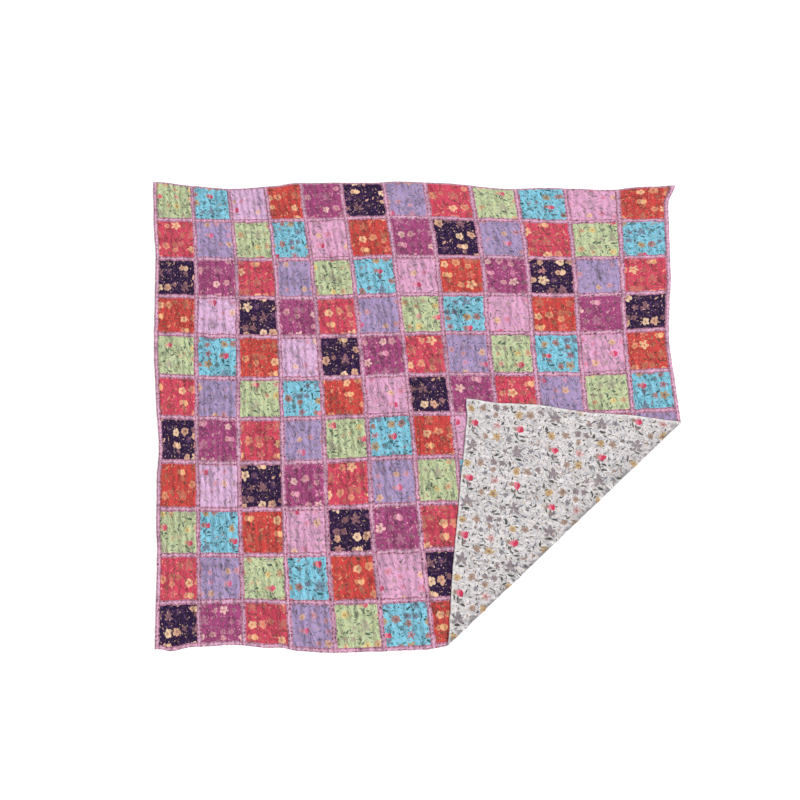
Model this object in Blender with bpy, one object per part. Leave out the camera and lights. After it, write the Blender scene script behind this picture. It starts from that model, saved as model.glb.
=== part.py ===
"""A patchwork quilt of two cloths, laid face up, with its lower right corner folded over on top.

Every point of a cloth is known by where it was in the flat quilt: how many patch pitches it lies
from the left edge of the patches, how many from their top edge, and on which face of the cloth.
The solids are cut as flat slabs in those measures, and one function then lays, puckers and folds them.
"""

from collections import namedtuple
from math import cos, pi, radians, sin

import bmesh
import bpy
import numpy as np
from mathutils import Matrix

# The quilt as sewn, in metres.
PATCH = 0.112
SASHING = 0.014
BORDER = 0.013
COLUMNS = 12
ROWS = 11
PITCH = PATCH + SASHING
EDGE = BORDER / PITCH

# The two cloths, in metres.
PLY = 0.0016
GAP = 0.0003

# The quilting: rows of running stitch that run from the top edge to the bottom edge.
CHANNELS_PER_PATCH = 6
CHANNEL_FADE = 0.06

# The fold. The crease runs up to the right, and the folded corner lies on the quilt's own face.
CREASE_POINT = (0.4660, -0.3986)
CREASE_ANGLE = radians(43.33)
BEND_RADIUS = 0.005
BEND_PAST = radians(8)
SETTLE_RADIUS = 0.15
FLAP_HEIGHT = 0.0072
BEND_STEPS = 8
SETTLE_STEPS = 2

# Mesh cells of the flat slab, along the width and along the length, and how near to a cut a point
# counts as on it.
CELLS_WIDE = 24
CELLS_LONG = 22
CUT_SNAP = 0.0004

# The finish of the two cloths.
TOP_COLOUR = (0.62, 0.22, 0.40)
BACKING_COLOUR = (0.83, 0.80, 0.76)
COTTON_ROUGHNESS = 0.85
SHARP_ANGLE = radians(50)

# The middle of the even grid of patches, and the middle of the laid quilt, in metres.
GRID_MIDDLE = (0.0471, -0.0222)
LAID_MIDDLE = (0.0428875, -0.0197522)

# How far the sewn cloth has drifted from an even grid, in millimetres, at seven places across the
# width, two patches apart. A row of the table lies a fifth of the length below the one before it.
Drift = namedtuple("Drift", "col0 col2 col4 col6 col8 col10 col12")
DRIFT_RIGHT = (
    Drift(-31, -67, -96, -102, -84, -45, 7),
    Drift(-17, -37, -60, -68, -50, -26, -6),
    Drift(-7, -24, -33, -40, -35, -19, -13),
    Drift(11, -13, -14, -14, -9, -1, 5),
    Drift(26, 2, -1, 8, 16, 19, 21),
    Drift(34, 20, 25, 41, 43, 41, 37),
)
DRIFT_UP = (
    Drift(8, -2, 6, 16, 4, -7, -2),
    Drift(29, 26, 26, 35, 34, 30, 37),
    Drift(38, 29, 29, 38, 41, 41, 54),
    Drift(28, 22, 27, 39, 40, 44, 51),
    Drift(9, 9, 12, 24, 32, 38, 42),
    Drift(-2, 8, -3, 5, 19, 28, 29),
)

# The uneven edges: how far the hem stands out, in millimetres, at a place counted in patches.
Hem = namedtuple("Hem", "at out")
TOP_HEM = (
    Hem(0.0, 2), Hem(1.0, -5), Hem(2.2, -11), Hem(3.3, -6), Hem(3.9, 1), Hem(4.6, -3),
    Hem(5.7, -9), Hem(6.6, -3), Hem(7.6, -2), Hem(8.7, -12), Hem(9.7, -3), Hem(10.2, -5),
    Hem(10.9, -10), Hem(11.5, -2), Hem(12.0, -4),
)
BOTTOM_HEM = (
    Hem(0.0, -7), Hem(0.3, 0), Hem(0.8, -7), Hem(1.8, -8), Hem(2.5, -2), Hem(2.8, -5),
    Hem(3.2, 1), Hem(3.8, 2), Hem(4.6, 0), Hem(5.8, 0), Hem(6.5, -8), Hem(7.0, -4),
    Hem(8.0, 2), Hem(10.0, 1), Hem(11.2, -6), Hem(11.6, -9), Hem(12.0, -4),
)
LEFT_HEM = (
    Hem(0.0, 1), Hem(1.0, 0), Hem(2.0, -5), Hem(3.0, -4), Hem(4.5, -3), Hem(5.5, -6),
    Hem(6.7, -12), Hem(7.4, -5), Hem(8.3, -3), Hem(9.0, -6), Hem(10.0, -5), Hem(11.0, -5),
)
RIGHT_HEM = (
    Hem(0.5, -8), Hem(1.3, -4), Hem(2.0, -1), Hem(2.7, 2), Hem(3.3, -3), Hem(4.3, -8),
    Hem(5.2, -4), Hem(6.2, -2), Hem(7.4, 2), Hem(8.4, -3), Hem(9.5, 3), Hem(10.5, -4), Hem(11.0, -1),
)
HEM_REACH = 0.9

# The stretched ear at the upper right corner: how far it stands out to the right and upwards, and
# its reach in patches.
EAR_OUT = 0.020
EAR_UP = 0.005
EAR_REACH = 0.30

# Pucker height in millimetres at five places across the width, three patches apart. A row of the
# table lies a quarter of the length below the one before it. The left side is gathered the most.
Pucker = namedtuple("Pucker", "col0 col3 col6 col9 col12")
PUCKER_HEIGHT = (
    Pucker(1.3, 1.2, 0.8, 0.6, 0.5),
    Pucker(1.3, 1.1, 0.9, 0.7, 0.6),
    Pucker(1.3, 1.2, 1.1, 0.9, 0.8),
    Pucker(1.2, 1.2, 1.2, 1.0, 1.0),
    Pucker(1.0, 1.1, 1.1, 1.0, 0.9),
)

# How much higher or lower one row of puckers stands than the next, as a share of the table's height,
# and how fast that share changes from row to row and along a row.
PUCKER_UNEVEN = 0.25
UNEVEN_BY_ROW = 2.4
UNEVEN_ALONG = 0.9

# Between the inner face of the flat slab, at 0, and the outer face, at 1.
SLAB_MIDDLE = 0.5

MM = 0.001


def clear_scene():
    """Removes the objects, so that the part starts from nothing."""
    for old in list(bpy.data.objects):
        bpy.data.objects.remove(old, do_unlink=True)


def cubic_weights(place, step, count):
    """The weight of each of `count` evenly spaced values at each place, for a smooth curve that
    passes through them all (Catmull-Rom), with the curve's ends run on straight."""
    cell = np.clip(np.floor(place / step).astype(int), 0, count - 2)
    f = place / step - cell
    near = (-f + 2 * f**2 - f**3, 2 - 5 * f**2 + 3 * f**3, f + 4 * f**2 - 3 * f**3, f**3 - f**2)
    padded = np.zeros((len(place), count + 2))
    for k, weight in enumerate(near):
        padded[np.arange(len(place)), cell + k] += weight / 2
    weights = padded[:, 1:-1].copy()
    weights[:, 0] += 2 * padded[:, 0]
    weights[:, 1] -= padded[:, 0]
    weights[:, -1] += 2 * padded[:, -1]
    weights[:, -2] -= padded[:, -1]
    return weights


def from_table(table, across, down):
    """A table's value, in metres, at a place in the flat quilt."""
    values = np.array(table, float) * MM
    rows, columns = values.shape
    down_weights = cubic_weights(down, ROWS / (rows - 1), rows)
    across_weights = cubic_weights(across, COLUMNS / (columns - 1), columns)
    return np.einsum("pr,rc,pc->p", down_weights, values, across_weights)


def hem_out(hem, place, depth):
    """How far a hem moves a point out, in metres: eased between the table's rows along the edge, and
    dying away with the depth in from the edge."""
    at = np.array([row.at for row in hem])
    out = np.array([row.out for row in hem]) * MM
    place = np.clip(place, at[0], at[-1])
    cell = np.clip(np.searchsorted(at, place) - 1, 0, len(at) - 2)
    f = (place - at[cell]) / (at[cell + 1] - at[cell])
    ease = f * f * (3 - 2 * f)
    near = np.clip(1 - depth / HEM_REACH, 0, 1) ** 2
    return (out[cell] * (1 - ease) + out[cell + 1] * ease) * near


def laid(across, down):
    """Where a point of the flat quilt lies on the surface before the corner is folded: an even grid,
    plus the drift, the hems and the ear."""
    x = GRID_MIDDLE[0] + PITCH * (across - COLUMNS / 2) + from_table(DRIFT_RIGHT, across, down)
    y = GRID_MIDDLE[1] - PITCH * (down - ROWS / 2) + from_table(DRIFT_UP, across, down)
    x += hem_out(RIGHT_HEM, down, COLUMNS - across) - hem_out(LEFT_HEM, down, across)
    y += hem_out(TOP_HEM, across, down) - hem_out(BOTTOM_HEM, across, ROWS - down)
    from_corner = ((COLUMNS + EDGE - across) / EAR_REACH) ** 2 + ((down + EDGE) / EAR_REACH) ** 2
    ear = np.exp(-from_corner)
    return x + EAR_OUT * ear, y + EAR_UP * ear


def crease_frame():
    """The crease's direction and the direction square to it, out over the folded edge."""
    along = np.array((cos(CREASE_ANGLE), sin(CREASE_ANGLE)))
    return along, np.array((along[1], -along[0]))


def past_crease(across, down):
    """How far past the crease line a point of the laid, unfolded quilt lies."""
    x, y = laid(across, down)
    return (np.stack((x, y), -1) - CREASE_POINT) @ crease_frame()[1]


def bend_sizes():
    """Where the bend starts, past the crease line, and the lengths of its three stretches: round the
    fold, straight down towards the quilt's face, and levelling out there."""
    middle = PLY + GAP / 2
    start = -(BEND_RADIUS + middle)
    drop = BEND_RADIUS * (1 + cos(BEND_PAST)) - SETTLE_RADIUS * (1 - cos(BEND_PAST))
    drop -= FLAP_HEIGHT - middle
    return start, BEND_RADIUS * (pi + BEND_PAST), drop / sin(BEND_PAST), SETTLE_RADIUS * BEND_PAST


def bend(past):
    """The quilt's mid-surface across the crease: how far out it lies, how high, and the angle it has
    turned through, for each distance past the crease line measured along the cloth."""
    start, turn, slope, settle = bend_sizes()
    a = np.clip(past - start, 0, turn)
    b = np.clip(past - start - turn, 0, slope)
    c = np.clip(past - start - turn - slope, 0, settle)
    d = np.maximum(past - start - turn - slope - settle, 0)
    round_angle = a / BEND_RADIUS
    full = pi + BEND_PAST
    level = full - c / SETTLE_RADIUS
    out = np.minimum(past, start) + BEND_RADIUS * np.sin(round_angle) + b * cos(full)
    out += SETTLE_RADIUS * (sin(full) - np.sin(level)) - d
    height = PLY + GAP / 2 + BEND_RADIUS * (1 - np.cos(round_angle)) + b * sin(full)
    height += SETTLE_RADIUS * (np.cos(level) - cos(full))
    angle = np.where(c > 0, level, np.minimum(round_angle, full))
    return out, height, angle


def pucker(across, down, shown):
    """How far the cloth's outer face swells between two rows of stitches, in metres: nothing at a row
    and the table's height halfway to the next. `shown` fades it out where that face is folded in."""
    full = np.maximum(from_table(PUCKER_HEIGHT, across, down), 0)
    channel = np.floor(across * CHANNELS_PER_PATCH)
    waves = np.sin(UNEVEN_BY_ROW * channel) * np.cos(UNEVEN_ALONG * down + channel)
    swell = (1 - np.cos(2 * pi * CHANNELS_PER_PATCH * across)) / 2
    return full * (1 + PUCKER_UNEVEN * waves) * swell * shown


def folded(across, down, offset):
    """Where a point of the finished quilt lies, given its offset from the mid-surface towards the
    pieced side."""
    along_way, out_way = crease_frame()
    x, y = laid(across, down)
    from_crease = np.stack((x, y), -1) - CREASE_POINT
    out, height, angle = bend(from_crease @ out_way)
    out = out - offset * np.sin(angle)
    flat = np.outer(from_crease @ along_way, along_way) + np.outer(out, out_way)
    flat += np.array(CREASE_POINT) - LAID_MIDDLE
    return np.column_stack((flat, height + offset * np.cos(angle)))


def crease_lines():
    """The distances past the crease at which the cloth's facets meet: the steps round the bend, down
    the slope and through the levelling out."""
    start, turn, slope, settle = bend_sizes()
    steps = np.linspace(start, start + turn, BEND_STEPS + 1)
    return [*steps, *np.linspace(steps[-1] + slope, steps[-1] + slope + settle, SETTLE_STEPS + 1)]


def flat_slab():
    """The slab that either cloth starts as, in patches across and down: the inner face, which lies
    against the other cloth, at height 0 and the outer face at height 1."""
    slab = bmesh.new()
    place = Matrix.Translation((COLUMNS / 2, ROWS / 2, 0))
    size = Matrix.Diagonal((COLUMNS / 2 + EDGE, ROWS / 2 + EDGE, 1, 1))
    bmesh.ops.create_grid(
        slab, x_segments=CELLS_WIDE, y_segments=CELLS_LONG, size=1, matrix=place @ size
    )
    across_layer = slab.verts.layers.float.new("across")
    down_layer = slab.verts.layers.float.new("down")
    x, y = laid(*(np.array([vert.co[i] for vert in slab.verts]) for i in range(2)))
    for vert, laid_x, laid_y in zip(slab.verts, x, y):
        vert[across_layer], vert[down_layer] = vert.co.x, vert.co.y
        vert.co = (laid_x, laid_y, 0)
    out_way = crease_frame()[1]
    for past in crease_lines():
        point = np.array(CREASE_POINT) + past * out_way
        bmesh.ops.bisect_plane(
            slab, geom=slab.verts[:] + slab.edges[:] + slab.faces[:], dist=CUT_SNAP,
            plane_co=(*point, 0), plane_no=(*out_way, 0),
        )
    for vert in slab.verts:
        vert.co = (vert[across_layer], vert[down_layer], 0)
    grown = bmesh.ops.extrude_face_region(slab, geom=slab.faces[:])["geom"]
    raised = [item for item in grown if isinstance(item, bmesh.types.BMVert)]
    bmesh.ops.translate(slab, verts=raised, vec=(0, 0, 1))
    bmesh.ops.recalc_face_normals(slab, faces=slab.faces[:])
    inner = [face for face in slab.faces if max(vert.co.z for vert in face.verts) < SLAB_MIDDLE]
    bmesh.ops.triangulate(slab, faces=inner, quad_method="FIXED", ngon_method="EAR_CLIP")
    return slab


def cut_channels(slab, side):
    """Cuts the slab's outer face along every row of stitches and halfway between two rows, on the
    part of the quilt where that face shows. `side` is 1 for the pieced cloth and -1 for the backing."""
    quilted = slab.faces.layers.int.new("quilted")
    outer = [face for face in slab.faces if min(vert.co.z for vert in face.verts) > SLAB_MIDDLE]
    middles = np.array([face.calc_center_median()[:2] for face in outer])
    past = past_crease(middles[:, 0], middles[:, 1])
    shows = past < -CHANNEL_FADE / 2 if side > 0 else past > -CHANNEL_FADE / 2
    for face, face_shows in zip(outer, shows):
        face[quilted] = int(face_shows)
    half = 2 * CHANNELS_PER_PATCH
    for line in np.arange(COLUMNS * half + 1) / half:
        crossed = []
        for face in slab.faces:
            places = [vert.co.x for vert in face.verts]
            if face[quilted] and min(places) < line < max(places):
                crossed.append(face)
        edges = {edge for face in crossed for edge in face.edges}
        verts = {vert for face in crossed for vert in face.verts}
        bmesh.ops.bisect_plane(
            slab, geom=[*verts, *edges, *crossed], dist=CUT_SNAP,
            plane_co=(line, 0, 0), plane_no=(1, 0, 0),
        )


def make_cloth(name, side, colour, collection):
    """One cloth of the quilt as a folded solid. `side` is 1 for the pieced cloth, whose outer face is
    the upper one where the quilt lies flat, and -1 for the backing."""
    slab = flat_slab()
    cut_channels(slab, side)
    across, down, outer = np.array([vert.co for vert in slab.verts], float).T
    past = past_crease(across, down)
    start = bend_sizes()[0]
    shown = np.clip((start - past if side > 0 else past) / CHANNEL_FADE, 0, 1)
    offset = side * (GAP / 2 + outer * (PLY + pucker(across, down, shown)))
    for vert, point in zip(slab.verts, folded(across, down, offset)):
        vert.co = point
    if slab.calc_volume(signed=True) < 0:
        bmesh.ops.reverse_faces(slab, faces=slab.faces[:])
    mesh = bpy.data.meshes.new(name)
    slab.to_mesh(mesh)
    slab.free()
    mesh.shade_smooth()
    mesh.set_sharp_from_angle(angle=SHARP_ANGLE)
    mesh.materials.append(make_material(name, colour))
    cloth = bpy.data.objects.new(name, mesh)
    collection.objects.link(cloth)
    return cloth


def make_material(name, colour):
    """A matt woven cotton in one colour."""
    material = bpy.data.materials.new(name)
    material.use_nodes = True
    shader = material.node_tree.nodes["Principled BSDF"]
    shader.inputs["Base Color"].default_value = (*colour, 1)
    shader.inputs["Roughness"].default_value = COTTON_ROUGHNESS
    return material


def main():
    clear_scene()
    quilt = bpy.data.collections.new("patchwork_quilt")
    bpy.context.scene.collection.children.link(quilt)
    make_cloth("patchwork_top", 1, TOP_COLOUR, quilt)
    make_cloth("backing", -1, BACKING_COLOUR, quilt)


main()
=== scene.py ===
# %% [markdown]
# # A patchwork quilt with one corner folded over
#
# The real thing is 132 squares of printed cotton, joined by narrow strips, laid on a printed
# backing and quilted with long rows of running stitch, which gather the cloth so that it puckers.
# The solids are in the frame as two plain cloths. This file dresses them with squares, strips,
# backing and stitches, each as its own piece, and prints the cotton by nodes.

# %% Load the frame
from collections import namedtuple
from math import cos, pi, radians, sin

import bpy
import numpy as np
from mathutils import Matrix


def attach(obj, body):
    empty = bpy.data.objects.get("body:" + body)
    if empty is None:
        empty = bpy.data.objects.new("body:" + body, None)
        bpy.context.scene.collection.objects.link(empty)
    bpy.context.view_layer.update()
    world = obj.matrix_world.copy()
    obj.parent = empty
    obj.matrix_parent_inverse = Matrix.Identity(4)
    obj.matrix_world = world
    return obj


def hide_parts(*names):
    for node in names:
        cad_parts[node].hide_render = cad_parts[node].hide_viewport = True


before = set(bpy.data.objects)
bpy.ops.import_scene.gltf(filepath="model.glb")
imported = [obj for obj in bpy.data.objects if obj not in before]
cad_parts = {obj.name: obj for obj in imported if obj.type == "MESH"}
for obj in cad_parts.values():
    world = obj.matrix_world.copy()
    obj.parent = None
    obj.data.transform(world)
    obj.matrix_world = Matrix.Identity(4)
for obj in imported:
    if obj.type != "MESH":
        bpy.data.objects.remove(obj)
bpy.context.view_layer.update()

# %% [markdown]
# ## The measures of the quilt
#
# A cloth is easiest to think about flat. A point of it is named here by how many patches it lies
# from the left and from the top edge, and one function says where it ends up once the quilt is laid
# out and its corner folded. These are the solids' own values, written out again, so that every
# piece lies on them. The tables hold the cloth's drift from an even grid, its hems and its puckers.

# %% The sewn sizes and the fold, in metres
PATCH = 0.112
SASHING = 0.014
BORDER = 0.013
SIDE_BINDING = 0.012
TOP_BINDING = 0.005
COLUMNS = 12
ROWS = 11
PITCH = PATCH + SASHING
EDGE = BORDER / PITCH
SEAM = SASHING / PITCH / 2
PLY = 0.0016
GAP = 0.0003
CHANNELS_PER_PATCH = 6
CREASE_POINT = (0.4660, -0.3986)
CREASE_ANGLE = radians(43.33)
BEND_RADIUS = 0.005
BEND_PAST = radians(8)
SETTLE_RADIUS = 0.15
FLAP_HEIGHT = 0.0072
GRID_MIDDLE = (0.0471, -0.0222)
LAID_MIDDLE = (0.0428875, -0.0197522)
MM = 0.001
print(f"{COLUMNS} x {ROWS} squares of {PATCH * 1000:.0f} mm, {SASHING * 1000:.0f} mm apart")

# %% The tables of drift, hems and puckers, in millimetres
DRIFT_RIGHT = (
    (-31, -67, -96, -102, -84, -45, 7),
    (-17, -37, -60, -68, -50, -26, -6),
    (-7, -24, -33, -40, -35, -19, -13),
    (11, -13, -14, -14, -9, -1, 5),
    (26, 2, -1, 8, 16, 19, 21),
    (34, 20, 25, 41, 43, 41, 37),
)
DRIFT_UP = (
    (8, -2, 6, 16, 4, -7, -2),
    (29, 26, 26, 35, 34, 30, 37),
    (38, 29, 29, 38, 41, 41, 54),
    (28, 22, 27, 39, 40, 44, 51),
    (9, 9, 12, 24, 32, 38, 42),
    (-2, 8, -3, 5, 19, 28, 29),
)
TOP_HEM = (
    (0.0, 2), (1.0, -5), (2.2, -11), (3.3, -6), (3.9, 1), (4.6, -3), (5.7, -9), (6.6, -3),
    (7.6, -2), (8.7, -12), (9.7, -3), (10.2, -5), (10.9, -10), (11.5, -2), (12.0, -4),
)
BOTTOM_HEM = (
    (0.0, -7), (0.3, 0), (0.8, -7), (1.8, -8), (2.5, -2), (2.8, -5), (3.2, 1), (3.8, 2), (4.6, 0),
    (5.8, 0), (6.5, -8), (7.0, -4), (8.0, 2), (10.0, 1), (11.2, -6), (11.6, -9), (12.0, -4),
)
LEFT_HEM = (
    (0.0, 1), (1.0, 0), (2.0, -5), (3.0, -4), (4.5, -3), (5.5, -6),
    (6.7, -12), (7.4, -5), (8.3, -3), (9.0, -6), (10.0, -5), (11.0, -5),
)
RIGHT_HEM = (
    (0.5, -8), (1.3, -4), (2.0, -1), (2.7, 2), (3.3, -3), (4.3, -8), (5.2, -4),
    (6.2, -2), (7.4, 2), (8.4, -3), (9.5, 3), (10.5, -4), (11.0, -1),
)
PUCKER_HEIGHT = (
    (1.3, 1.2, 0.8, 0.6, 0.5),
    (1.3, 1.1, 0.9, 0.7, 0.6),
    (1.3, 1.2, 1.1, 0.9, 0.8),
    (1.2, 1.2, 1.2, 1.0, 1.0),
    (1.0, 1.1, 1.1, 1.0, 0.9),
)
SEAM_RIGHT = (0, -2, 3, 6, 0, 1, 5, -1, -1, -5, -2, 4, 0)
SEAM_DOWN = (0, -7, 4, 4, 1, 4, -2, -1, 3, 4, 8, 0)
HEM_REACH = 0.9
EAR_OUT = 0.020
EAR_REACH = 0.30
WOBBLE = 0.0021
WOBBLE_CELL = 0.014
WOBBLE_HILLS = (51, 52)
WOBBLE_FROM_HEM = 0.03
HEM_WOBBLE = 0.3
print("drift of up to", np.abs(DRIFT_RIGHT).max(), "mm sideways and", np.abs(DRIFT_UP).max(), "mm along")


# %% From the flat cloth to the laid and folded quilt
def cubic_weights(place, step, count):
    """The weight of each of `count` evenly spaced values at each place, for a smooth curve through
    them all: four neighbours, cubic in the distance, and run on straight at its ends."""
    cell = np.clip(np.floor(place / step).astype(int), 0, count - 2)
    f = place / step - cell
    near = (-f + 2 * f**2 - f**3, 2 - 5 * f**2 + 3 * f**3, f + 4 * f**2 - 3 * f**3, f**3 - f**2)
    padded = np.zeros((len(place), count + 2))
    np.put_along_axis(padded, cell[:, None] + np.arange(4), np.stack(near, -1) / 2, 1)
    run_on = np.eye(count + 2, count, -1)
    run_on[0, :2] = run_on[-1, :-3:-1] = (2, -1)
    return padded @ run_on


def from_table(table, across, down):
    """A table's value in metres: its numbers weighted by place, down and across."""
    values = np.array(table, float) * MM
    rows, columns = values.shape
    down_weights = cubic_weights(down, ROWS / (rows - 1), rows)
    across_weights = cubic_weights(across, COLUMNS / (columns - 1), columns)
    return np.einsum("pr,rc,pc->p", down_weights, values, across_weights)


def hem_out(hem, place, depth):
    """How far a hem moves a point out: eased between the table's places, times a square that falls
    to nothing HEM_REACH patches in."""
    at, out = np.array(hem, float).T
    place = np.clip(place, at[0], at[-1])
    cell = np.clip(np.searchsorted(at, place) - 1, 0, len(at) - 2)
    f = (place - at[cell]) / (at[cell + 1] - at[cell])
    ease = f * f * (3 - 2 * f)
    near = np.clip(1 - depth / HEM_REACH, 0, 1) ** 2
    return (out[cell] * (1 - ease) + out[cell + 1] * ease) * MM * near


NOISE_CELLS = 512


def hills(x, y, cell, seed):
    """Smooth random hills from 0 to 1: a random height at each corner of a grid of `cell` metres,
    eased with 3t^2 - 2t^3 both ways."""
    heights = np.random.default_rng(seed).random((NOISE_CELLS, NOISE_CELLS))
    fx, fy = x / cell, y / cell
    i, j = np.floor(fx).astype(int), np.floor(fy).astype(int)
    u, v = fx - i, fy - j
    u, v = u * u * (3 - 2 * u), v * v * (3 - 2 * v)
    corner = [[heights[(i + a) % NOISE_CELLS, (j + b) % NOISE_CELLS] for b in (0, 1)] for a in (0, 1)]
    near = corner[0][0] * (1 - v) + corner[0][1] * v
    far = corner[1][0] * (1 - v) + corner[1][1] * v
    return near * (1 - u) + far * u


def inward(across, down):
    """How far in from the quilt's nearest edge a place lies, in metres."""
    sides = (across + EDGE, COLUMNS + EDGE - across, down + EDGE, ROWS + EDGE - down)
    return np.minimum.reduce(sides) * PITCH


def laid(across, down):
    """A point before the corner is folded: even grid + drift + hems + the pulled-out ear, plus the
    quilting's small wobble, which fades towards the firm hems."""
    x = GRID_MIDDLE[0] + PITCH * (across - COLUMNS / 2) + from_table(DRIFT_RIGHT, across, down)
    y = GRID_MIDDLE[1] - PITCH * (down - ROWS / 2) + from_table(DRIFT_UP, across, down)
    x += hem_out(RIGHT_HEM, down, COLUMNS - across) - hem_out(LEFT_HEM, down, across)
    y += hem_out(TOP_HEM, across, down) - hem_out(BOTTOM_HEM, across, ROWS - down)
    from_corner = ((COLUMNS + EDGE - across) / EAR_REACH) ** 2 + ((down + EDGE) / EAR_REACH) ** 2
    ear = EAR_OUT * np.exp(-from_corner)
    flat_x, flat_y = across * PITCH, down * PITCH
    wobble = WOBBLE * np.clip(inward(across, down) / WOBBLE_FROM_HEM, HEM_WOBBLE, 1)
    right, up = (wobble * (2 * hills(flat_x, flat_y, WOBBLE_CELL, seed) - 1) for seed in WOBBLE_HILLS)
    return x + right + ear, y + up + ear / 4


ALONG = np.array((cos(CREASE_ANGLE), sin(CREASE_ANGLE)))
OUTWARD = np.array((ALONG[1], -ALONG[0]))
MIDDLE = PLY + GAP / 2
BEND_START = -(BEND_RADIUS + MIDDLE)
BEND_TURN = pi + BEND_PAST
slope_drop = BEND_RADIUS * (1 + cos(BEND_PAST)) - SETTLE_RADIUS * (1 - cos(BEND_PAST))
slope_drop -= FLAP_HEIGHT - MIDDLE
ARC_LONG, SLOPE_LONG = BEND_RADIUS * BEND_TURN, slope_drop / sin(BEND_PAST)
SETTLE_LONG = SETTLE_RADIUS * BEND_PAST


def past_crease(across, down):
    """How far past the crease line a point of the laid, unfolded quilt lies."""
    return (np.stack(laid(across, down), -1) - CREASE_POINT) @ OUTWARD


def bend(past):
    """The mid-surface across the crease: an arc of BEND_RADIUS, a straight slope and a wide arc back
    to level, and then flat. Gives how far out, how high, and the angle turned."""
    a = np.clip(past - BEND_START, 0, ARC_LONG)
    b = np.clip(past - BEND_START - ARC_LONG, 0, SLOPE_LONG)
    c = np.clip(past - BEND_START - ARC_LONG - SLOPE_LONG, 0, SETTLE_LONG)
    d = np.maximum(past - BEND_START - ARC_LONG - SLOPE_LONG - SETTLE_LONG, 0)
    turned, level = a / BEND_RADIUS, BEND_TURN - c / SETTLE_RADIUS
    out = np.minimum(past, BEND_START) + BEND_RADIUS * np.sin(turned) + b * cos(BEND_TURN)
    out += SETTLE_RADIUS * (sin(BEND_TURN) - np.sin(level)) - d
    height = MIDDLE + BEND_RADIUS * (1 - np.cos(turned)) + b * sin(BEND_TURN)
    height += SETTLE_RADIUS * (np.cos(level) - cos(BEND_TURN))
    return out, height, np.where(c > 0, level, np.minimum(turned, BEND_TURN))


def folded(across, down, offset):
    """The finished place of a point that stands `offset` off the mid-surface, towards the pieced
    side: laid out, then turned about the crease, with the offset along the turned normal."""
    from_crease = np.stack(laid(across, down), -1) - CREASE_POINT
    out, height, angle = bend(from_crease @ OUTWARD)
    out = out - offset * np.sin(angle)
    flat = np.outer(from_crease @ ALONG, ALONG) + np.outer(out, OUTWARD)
    flat += np.array(CREASE_POINT) - LAID_MIDDLE
    return np.column_stack((flat, height + offset * np.cos(angle)))


corners = folded(np.array((0.0, COLUMNS, 0.0)), np.array((0.0, 0.0, ROWS)), np.zeros(3))
print("three corners of the patches:", corners.round(3).tolist())

# %% [markdown]
# ## The puckers
#
# Each row of running stitch pulls the cloth down into a narrow ditch, and between two rows it stands
# up like a little pillow, crossed by fine ripples. A cloth simulation could find this, but it would
# need a mesh a few millimetres fine over two square metres. A height worked out from the place is
# quicker, and the same every time. The seams make ditches too, and stray a little from the grid.

# %% Where the seams run
def seam_lines(strays, first_binding, last_binding):
    """Where squares begin and end, in patches: half a strip from each line of the grid, which strays
    by so many millimetres, and a binding's width from the quilt's edges."""
    lines = np.arange(len(strays)) + np.array(strays) * MM / PITCH
    begins, ends = lines[:-1] + SEAM, lines[1:] - SEAM
    begins[0], ends[-1] = first_binding / PITCH - EDGE, lines[-1] + EDGE - last_binding / PITCH
    return begins, ends


BEGIN_ACROSS, END_ACROSS = seam_lines(SEAM_RIGHT, SIDE_BINDING, SIDE_BINDING)
BEGIN_DOWN, END_DOWN = seam_lines(SEAM_DOWN, TOP_BINDING, SIDE_BINDING)
print("squares are", ((END_DOWN - BEGIN_DOWN) * PITCH * 1000).round().astype(int).tolist(), "mm long")

# %% The height of the puckers
CHANNEL_FADE = 0.06
BACK_FADE = 0.012
SEAM_DITCH = 0.0007
SEAM_WIDTH = 0.0028
EDGE_ROLL = 0.0030
FOLD_BUMP = 0.0030
FOLD_BUMP_AT = 0.0105
FOLD_BUMP_WIDTH = 0.006
GATHER_CELL = 0.012
GATHER_HILLS = 15
WANDER = 0.0024
WANDER_CELL = 0.045
WANDER_HILLS = 3
CROWN = 0.7
FRONT_HILLS = 5
BACK_HILLS = 9
FOLD_CELL = 0.014
FOLD_SLANT = 0.3
RIPPLE_CELL = 0.010
RIPPLE_SLANT = (0.55, 0.2)
FOLD_SHARE = 0.65
CRUMPLE_SHARE = 0.65
UNEVEN = 0.25
FULL_GATHER = 0.0012
GATHER_RANGE = (0.6, 1.1)
TIGHT_CELL = 0.023
TIGHT_RANGE = (0.15, 1.4)
DITCH_HOLLOW = 1.15
FOLD_HOLLOW = 0.6


def wander(across, down):
    """How far a row of stitches strays sideways, in patches: soft hills, WANDER metres at most."""
    return (hills(across * PITCH, down * PITCH, WANDER_CELL, WANDER_HILLS) - 0.5) * 2 * WANDER / PITCH


def pillow(across, down):
    """0 in a row of stitches and 1 halfway to the next: a power of a half sine wave, which makes
    the ditch sharp and the crown round."""
    return np.abs(np.sin(pi * CHANNELS_PER_PATCH * (across + wander(across, down)))) ** CROWN


def crumple(across, down, seed):
    """The uneven part of the puckers, 0 to 1: long slanting folds and short ripples across them, as
    a mean of two sets of hills."""
    x, y = across * PITCH, down * PITCH
    folds = hills(x - FOLD_SLANT * y, FOLD_SLANT * y, FOLD_CELL, seed)
    ripples = hills(RIPPLE_SLANT[0] * x + RIPPLE_SLANT[1] * y, y, RIPPLE_CELL, seed + 1)
    return FOLD_SHARE * folds + (1 - FOLD_SHARE) * ripples


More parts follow.
